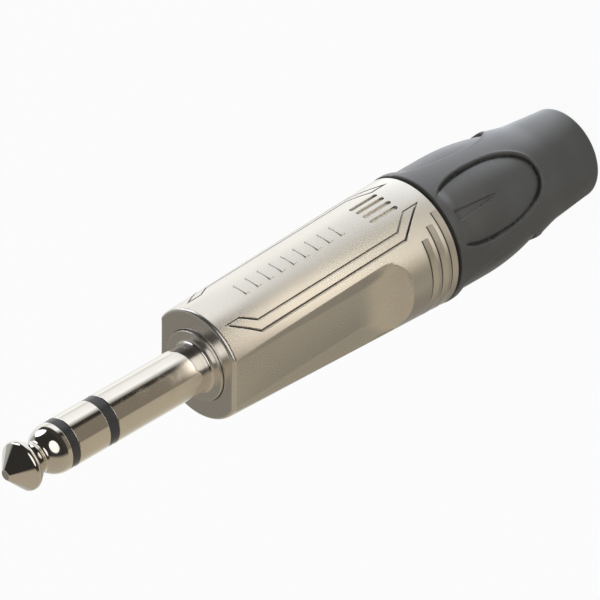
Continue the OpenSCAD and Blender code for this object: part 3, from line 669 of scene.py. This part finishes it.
def bootRadius(phi, at, s=bootSettings):
    bodyAt = s["front"] + s["rim"]
    bodyEnd = bodyAt + s["body"]
    stepEnd = bodyEnd + s["step"]
    end = plugLength - s["endRound"]
    low = s["radius"] - s["drop"]
    body = s["radius"] - s["drop"] * (np.clip(at - bodyAt, 0, None) / s["body"]) ** 2
    fine = np.linspace(bodyAt, plugLength, 400)
    sharp = np.where(fine < bodyEnd, s["radius"] - s["drop"] * ((fine - bodyAt) / s["body"]) ** 2,
                     np.interp(fine, [bodyEnd, stepEnd, end], [low, s["neck"], s["end"]]))
    blurred = np.convolve(np.pad(sharp, 20, "edge"), np.hanning(43)[1:-1] / np.hanning(43).sum(), "valid")
    plain = np.where(at < bodyAt + 3, body, np.interp(at, fine, blurred))
    angle, u, v, edge = padPlace(phi, at, s)
    hub = s["radius"] - s["padBulge"]
    core = hub - s["padDrop"] * smoothStep((at - bodyAt + 0.5) / 1.9)
    swell = np.clip(at - 74.75, 0, 12.6)
    core = core - (s["padSwell"] - np.sqrt(s["padSwell"] ** 2 - swell**2))
    pad = s["padBulge"] * np.cos(angle) + np.sqrt(core**2 - (s["padBulge"] * np.sin(angle)) ** 2)
    inside = smoothStep(-edge / 0.22)
    radius = plain + (np.minimum(pad, plain) - plain) * inside
    behind = smoothStep((v - 2) / 5)
    shown = smoothStep((at - bodyAt) / 0.8)
    radius = radius - shown * s["groove"] * np.exp(-(((edge + 0.14) / s["grooveWidth"]) ** 2))
    radius = radius + s["lip"] * behind * np.exp(-(((edge - 0.2) / 0.16) ** 2))
    start, stop, half, depth = s["flute"]
    along = np.clip((at - start) / (stop - start), 0, 1)
    reach = half * (1 - along) + 0.04
    head = smoothStep((at - start + 0.5) / 0.5) * smoothStep((stop - at) / 1.5)
    return radius - depth * head * (1 - 0.5 * along) * np.exp(-((np.abs(u) / reach) ** 8))


def makeBoot(s):
    front, end = s["front"], plugLength
    rows = np.unique(np.concatenate([np.linspace(front + 0.15, front + 3, 22), np.linspace(front + 3, 82.4, 76),
                                     np.linspace(82.4, 85.4, 28), np.linspace(85.4, end - s["endRound"], 26)]))
    phi = np.linspace(0, 2 * math.pi, s["columns"], endpoint=False)
    skin = bootRadius(phi[None, :], rows[:, None])
    lead = [(-0.15 + 0.15 * math.cos(a), front + 0.15 - 0.15 * math.sin(a)) for a in np.radians([90, 60, 30])]
    tail = [(-s["endRound"] * (1 - math.cos(a)), end - s["endRound"] * (1 - math.sin(a))) for a in np.radians([20, 40, 60, 80, 90])]
    inner = [(4.3, end), (3.9, end - 0.4), (3.9, 79.72), (6.12, 79.72), (6.42, 78.28), (6.12, 78.28), (6.12, front)]
    radius = np.concatenate([
        [skin[0] + d for d, _ in lead], skin, [skin[-1] + d for d, _ in tail],
        [np.full(len(phi), r) for r, _ in inner],
    ])
    at = np.concatenate([[a for _, a in lead], rows, [a for _, a in tail], [a for _, a in inner]])
    points = inMetres(radius, phi[None, :], at[:, None])
    mesh = bpy.data.meshes.new("boot")
    mesh.from_pydata(points.reshape(-1, 3).tolist(), [], gridFaces(len(at), len(phi)).tolist())
    edge = mesh.attributes.new("padEdge", "FLOAT", "POINT")
    place = padPlace(np.broadcast_to(phi[None, :], radius.shape), np.broadcast_to(at[:, None], radius.shape), s)[3]
    place = np.where((at < front + 0.9)[:, None], 3.0, np.clip(place, -3, 3))
    edge.data.foreach_set("value", place.ravel().astype(np.float32))
    faceOut(mesh)
    mesh.set_sharp_from_angle(angle=math.radians(50))
    addPiece("boot", mesh, "boot", finishes["bootRubber"])


makeBoot(bootSettings)
print("boot moulded")


shellSettings = {
    "front": 31.2,
    "rear": 67.2,
    "frontRadius": 7.28,
    "rearRadius": 8.5,
    "frontRound": 0.5,
    "rearBevel": 0.15,
    "mouth": 4.7,
    "gripPlane": 6.25,  # distance of the grips' straight edges from the axis
    "gripHollow": 0.43,  # how far the floor lies below that plane where its run-out starts
    "gripEnd": 59.6,
    "gripCorner": 1.4,
    "runOut": 52.6,
    "runOutRadius": 13.5,
    "flank": ((31.2, 53.0, 57.0, 59.0, 60.0), (0.35, 1.6, 1.5, 1.1, 0.9)),
    "gripRadius": 34.0,  # the floor's slow curve across
    "groove": (62.75, 1.6, 0.28, 0.4, 0.14, 1.1),  # first place, pitch, width, depth, depth and length of the ramp behind
    "grooveAngles": (41.5, 49.9, 58.3),
    "line": (0.23, 0.2),  # width, depth
    "lineCorners": (
        (3.2, 32.9), (3.2, 35.0), (4.4, 37.0), (4.4, 60.5), (2.7, 63.2), (2.7, 65.4), (5.42, 60.9), (5.42, 36.6), (4.15, 34.35),
    ),
    "slot": (0.55, 4.6, 1.15, 58.5, 0.3, 4),  # width, length, pitch, front end, depth, count
    "rib": (0.7, 2.3, 0.16, 38.2, 2.0, 9),  # width, length, height, first place, pitch, count
    "columns": (52, 44),  # in each quarter, over the grip and beside it
}


def coneRadius(at, s=shellSettings):
    return s["frontRadius"] + (s["rearRadius"] - s["frontRadius"]) * (at - s["front"]) / (s["rear"] - s["front"])


def gripEdge(at, s=shellSettings):
    # half angle that a grip covers
    return np.arccos(s["gripPlane"] / coneRadius(np.minimum(at, s["gripEnd"]), s))


def shellRadius(phi, at, s=shellSettings):
    cone = coneRadius(at, s)
    angle = np.abs((phi + math.pi / 2) % math.pi - math.pi / 2)
    across = cone * np.sin(angle) - cone * np.sin(gripEdge(at, s)) + s["gripCorner"]
    along = at - s["gripEnd"] + s["gripCorner"]
    outside = np.hypot(np.maximum(across, 0), np.maximum(along, 0)) + np.minimum(np.maximum(across, along), 0) - s["gripCorner"]
    into = np.clip((at - s["front"]) / (s["runOut"] - s["front"]), 0, 1)
    rise = np.clip(at - s["runOut"], 0, 0.95 * s["runOutRadius"])
    floor = s["gripPlane"] - s["gripHollow"] * into**1.2 + s["runOutRadius"] - np.sqrt(s["runOutRadius"] ** 2 - rise**2)
    floor = floor - (6 * np.tan(np.minimum(angle, 0.9))) ** 2 / (2 * s["gripRadius"]) * np.clip(into / 0.4, 0, 1)
    depth = np.maximum(cone - floor / np.cos(np.minimum(angle, 1.2)), 0)
    inward = np.clip(-outside / np.interp(at, *s["flank"]), 0, 1)
    return cone - depth * (1 - (1 - inward) ** 2)


def shellBlank(s):
    front, rear, edge, bevel = s["front"], s["rear"], s["frontRound"], s["rearBevel"]
    rows = np.unique(np.concatenate([np.linspace(front + edge, 58, 40), np.linspace(58, 60.4, 49), np.linspace(60.4, rear - bevel, 8)]))
    lead = [(a, edge) for a in np.radians([90, 72, 54, 36, 18])]
    inner = [(s["rearRadius"] - bevel, rear), (7.4, rear), (7.0, rear - 0.4), (7.0, 60.2), (5.6, 60.2), (5.6, 33.2),
             (s["mouth"], 33.2), (s["mouth"], front)]
    at = np.concatenate([[front + edge * (1 - math.sin(a)) for a, _ in lead], rows, [a for _, a in inner]])
    inside, beside = s["columns"]
    quarter = []
    for row in at:
        limit = float(gripEdge(max(row, front), s))
        over = limit * np.sin(np.linspace(0, math.pi / 2, inside, endpoint=False))
        rest = limit + (math.pi / 2 - limit) * (1 - np.cos(np.linspace(0, math.pi / 2, beside, endpoint=False)))
        quarter.append(np.concatenate([over, rest]))
    quarter = np.array(quarter)
    back = math.pi - np.concatenate([np.full((len(at), 1), math.pi / 2), quarter[:, :0:-1]], 1)
    half = np.concatenate([quarter, back], 1)
    phi = np.concatenate([half, half + math.pi], 1)
    radius = shellRadius(phi, np.maximum(at, front)[:, None])
    for k, (a, _) in enumerate(lead):
        radius[k] -= edge * (1 - math.cos(a))
    for k, (r, _) in enumerate(inner):
        radius[len(lead) + len(rows) + k] = r
    points = inMetres(radius, phi, at[:, None])
    mesh = bpy.data.meshes.new("shellBlank")
    mesh.from_pydata(points.reshape(-1, 3).tolist(), [], gridFaces(*radius.shape).tolist())
    faceOut(mesh)
    return mesh


def prism(outline, low, high, panel, hole=None):
    # walls over an outline of (across, at) on one panel, from "low" below the cone to "high" above it
    rings = [np.array(outline)] if hole is None else [np.array(outline), np.array(hole)]
    points, faces, count = [], [], len(outline)
    for ring in rings:
        for level in (low, high):
            cone = coneRadius(ring[:, 1]) + level
            height = np.sqrt(cone**2 - ring[:, 0] ** 2)
            points += [(panel[0] * u * mm, panel[1] * h * mm, (plugLength - a) * mm) for (u, a), h in zip(ring, height)]
    for i in range(count):
        j = (i + 1) % count
        faces.append((i, j, count + j, count + i))
        if hole is not None:
            o = 2 * count
            faces += [(o + i, o + j, o + count + j, o + count + i), (i, j, o + j, o + i),
                      (count + i, count + j, o + count + j, o + count + i)]
    if hole is None:
        faces += [tuple(range(count)), tuple(range(count, 2 * count))]
    return points, faces


def shiftedOutline(corners, offset):
    p = np.array(corners, float)
    into, out = p - np.roll(p, 1, 0), np.roll(p, -1, 0) - p
    into /= np.linalg.norm(into, axis=1)[:, None]
    out /= np.linalg.norm(out, axis=1)[:, None]
    left = np.stack([-into[:, 1] - out[:, 1], into[:, 0] + out[:, 0]], 1)
    return p + left * offset / (1 + np.sum(into * out, 1))[:, None]


def capsule(width, length, middle, start, steps=8):
    half = width / 2
    ends = arc((middle, start + half), half, 180, 360, steps) + arc((middle, start + length - half), half, 0, 180, steps)
    return ends


def grooveCutter(at, half, side, s):
    # a thin slot with a shallow ramp behind it
    width, depth, shallow, ramp = s["groove"][2:]
    over = 0.6
    rate = (shallow + 0.034 * ramp) / (ramp - width)
    phi = np.linspace(-math.radians(half), math.radians(half), 90) + side
    cone = float(coneRadius(at))
    section = [(cone - depth, at), (cone + over, at), (cone + over, at + width + (shallow + over) / rate),
               (cone - shallow, at + width), (cone - depth, at + width)]
    points = np.concatenate([inMetres(r, phi, a) for r, a in section]).tolist()
    n, sides = len(phi), len(section)
    faces = [(k * n + j, k * n + j + 1, (k + 1) % sides * n + j + 1, (k + 1) % sides * n + j) for k in range(sides) for j in range(n - 1)]
    faces += [tuple(k * n for k in range(sides)), tuple(k * n + n - 1 for k in range(sides))]
    return points, faces


def solidsMesh(name, solids):
    work = bmesh.new()
    for points, faces in solids:
        vertices = [work.verts.new(p) for p in points]
        made = [work.faces.new([vertices[i] for i in face]) for face in faces]
        bmesh.ops.recalc_face_normals(work, faces=made)
    bmesh.ops.triangulate(work, faces=work.faces)
    mesh = bpy.data.meshes.new(name)
    work.to_mesh(mesh)
    work.free()
    return mesh


def makeShell(s):
    panels = [(x, y) for x in (1, -1) for y in (1, -1)]
    width, depth = s["line"]
    lines = (shiftedOutline(s["lineCorners"], width / 2), shiftedOutline(s["lineCorners"], -width / 2))
    cutters = [prism(lines[0], -depth, 1.0, panel, lines[1]) for panel in panels]
    slotWidth, slotLength, slotPitch, slotAt, slotDepth, count = s["slot"]
    for k in range(count):
        outline = capsule(slotWidth, slotLength, (k - (count - 1) / 2) * slotPitch, slotAt)
        cutters += [prism(outline, -slotDepth, 1.0, panel) for panel in panels[:2]]
    first, pitch = s["groove"][:2]
    for k, half in enumerate(s["grooveAngles"]):
        cutters += [grooveCutter(first + k * pitch, half, side, s) for side in (0, math.pi)]
    blank = bpy.data.objects.new("shellBlank", shellBlank(s))
    tool = bpy.data.objects.new("shellCutters", solidsMesh("shellCutters", cutters))
    for item in (blank, tool):
        bpy.context.scene.collection.objects.link(item)
    tool.data.materials.append(finishes["shellNickel"])
    blank.data.materials.append(finishes["contactNickel"])
    cut = blank.modifiers.new("cut", "BOOLEAN")
    cut.operation, cut.solver, cut.object, cut.material_mode = "DIFFERENCE", "EXACT", tool, "TRANSFER"
    graph = bpy.context.evaluated_depsgraph_get()
    mesh = bpy.data.meshes.new_from_object(blank.evaluated_get(graph))
    print("shell cut:", len(mesh.polygons), "faces,", len(mesh.materials), "groups")
    for item in (blank, tool):
        bpy.data.objects.remove(item, do_unlink=True)
    mesh.name = "shell"
    addRibs(mesh, s)
    setShellNormals(mesh, s)
    addPiece("shell", mesh, "plug", finishes["shellNickel"])


def addRibs(mesh, s):
    # raised bars in the middle of both panels, standing a little in the wall
    wide, long, high, first, pitch, count = s["rib"]
    bars = []
    for side in (1, -1):
        for k in range(count):
            at = first + k * pitch
            outline = [(-long / 2, at), (long / 2, at), (long / 2, at + wide), (-long / 2, at + wide)]
            bars.append(prism(outline, -0.25, high, (side, side)))
    work = bmesh.new()
    work.from_mesh(solidsMesh("shellRibs", bars))
    bmesh.ops.dissolve_limit(work, angle_limit=0.01, verts=work.verts, edges=work.edges)
    bmesh.ops.bevel(work, geom=list(work.edges), offset=0.00005, segments=2, profile=0.5, affect="EDGES", clamp_overlap=True)
    bmesh.ops.triangulate(work, faces=work.faces)
    bars = bpy.data.meshes.new("shellRibs")
    work.to_mesh(bars)
    work.from_mesh(mesh)
    work.to_mesh(mesh)
    work.free()


def setShellNormals(mesh, s):
    # the outside takes the normals of its formula, cut walls and the inside keep flat ones
    count, loops = len(mesh.polygons), len(mesh.loops)
    group, total = np.empty(count, np.int32), np.empty(count, np.int32)
    mesh.polygons.foreach_get("material_index", group)
    mesh.polygons.foreach_get("loop_total", total)
    flat = np.empty(count * 3, np.float32)
    mesh.polygons.foreach_get("normal", flat)
    centre = np.empty(count * 3, np.float32)
    mesh.polygons.foreach_get("center", centre)
    vertex = np.empty(loops, np.int32)
    mesh.loops.foreach_get("vertex_index", vertex)
    place = np.empty(len(mesh.vertices) * 3, np.float32)
    mesh.vertices.foreach_get("co", place)
    flat, centre, place = flat.reshape(-1, 3), centre.reshape(-1, 3) / mm, place.reshape(-1, 3)[vertex] / mm
    outward = np.sum(flat[:, :2] * centre[:, :2], 1) / np.hypot(centre[:, 0], centre[:, 1])
    skin = (group == 0) & (outward > 0.2) & (np.hypot(centre[:, 0], centre[:, 1]) > 5.7)
    normals = np.repeat(flat, total, 0)
    phi, at = np.arctan2(place[:, 1], place[:, 0]), plugLength - place[:, 2]
    own = slopeNormals(shellRadius, phi, np.maximum(at, s["front"] + 0.1))
    lean = np.clip((s["front"] + s["frontRound"] - at) / s["frontRound"], 0, 1)[:, None]
    own = own * np.sqrt(1 - lean**2) + np.array([0, 0, 1]) * lean
    chosen = np.repeat(skin, total) & (at < s["rear"] - s["rearBevel"] + 0.01)
    normals[chosen] = own[chosen] / np.linalg.norm(own[chosen], axis=1)[:, None]
    mesh.polygons.foreach_set("material_index", np.zeros(count, np.int32))
    mesh.polygons.foreach_set("use_smooth", np.ones(count, bool))
    mesh.normals_split_custom_set(normals.tolist())


makeShell(shellSettings)
print("shell cast")


nodeFinish = {
    "sleeve_terminal": "terminalTin",
    "ring_terminal": "terminalTin",
    "tip_terminal": "terminalTin",
    "ring_washer": "washerBoard",
    "tip_washer": "washerBoard",
    "chuck": "chuckPlastic",
}


def dress(node, finish):
    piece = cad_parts[node]
    if not piece.material_slots:
        piece.data.materials.append(finish)
    for place in piece.material_slots:
        place.material = finish


for node, finish in nodeFinish.items():
    dress(node, finishes[finish])
print("packed pieces dressed:", len(nodeFinish))
